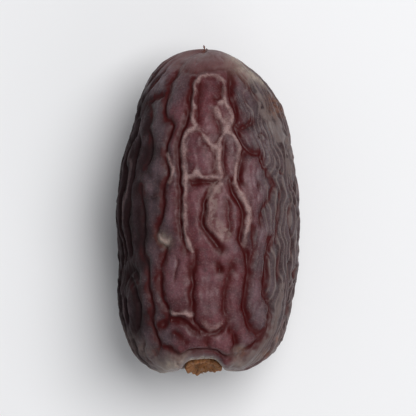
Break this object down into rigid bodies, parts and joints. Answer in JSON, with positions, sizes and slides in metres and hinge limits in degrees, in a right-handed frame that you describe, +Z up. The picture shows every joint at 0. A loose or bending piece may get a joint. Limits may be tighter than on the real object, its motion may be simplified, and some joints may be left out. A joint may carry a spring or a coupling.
{
  "type": "dried date",
  "caption": "Large soft dried date lying on its side, its skin wrinkled into long plates and raised folds, with the woody calyx remains in its stem end.",
  "frame": {"origin": "middle of the box's bottom face, on the surface that the fruit lies on", "axes": "+Y along the fruit to its blossom end, +Z up as it lies, +X to its side"},
  "size_m": [0.0282, 0.051, 0.0253],
  "materials": {
    "date_skin": "wrinkled, half gloss, with a thin pale bloom",
    "calyx_wood": "dry and matt"
  },
  "bodies": {
    "root": {"fruit": "date_skin", "calyx_remnant": "calyx_wood"}
  },
  "joints": []
}
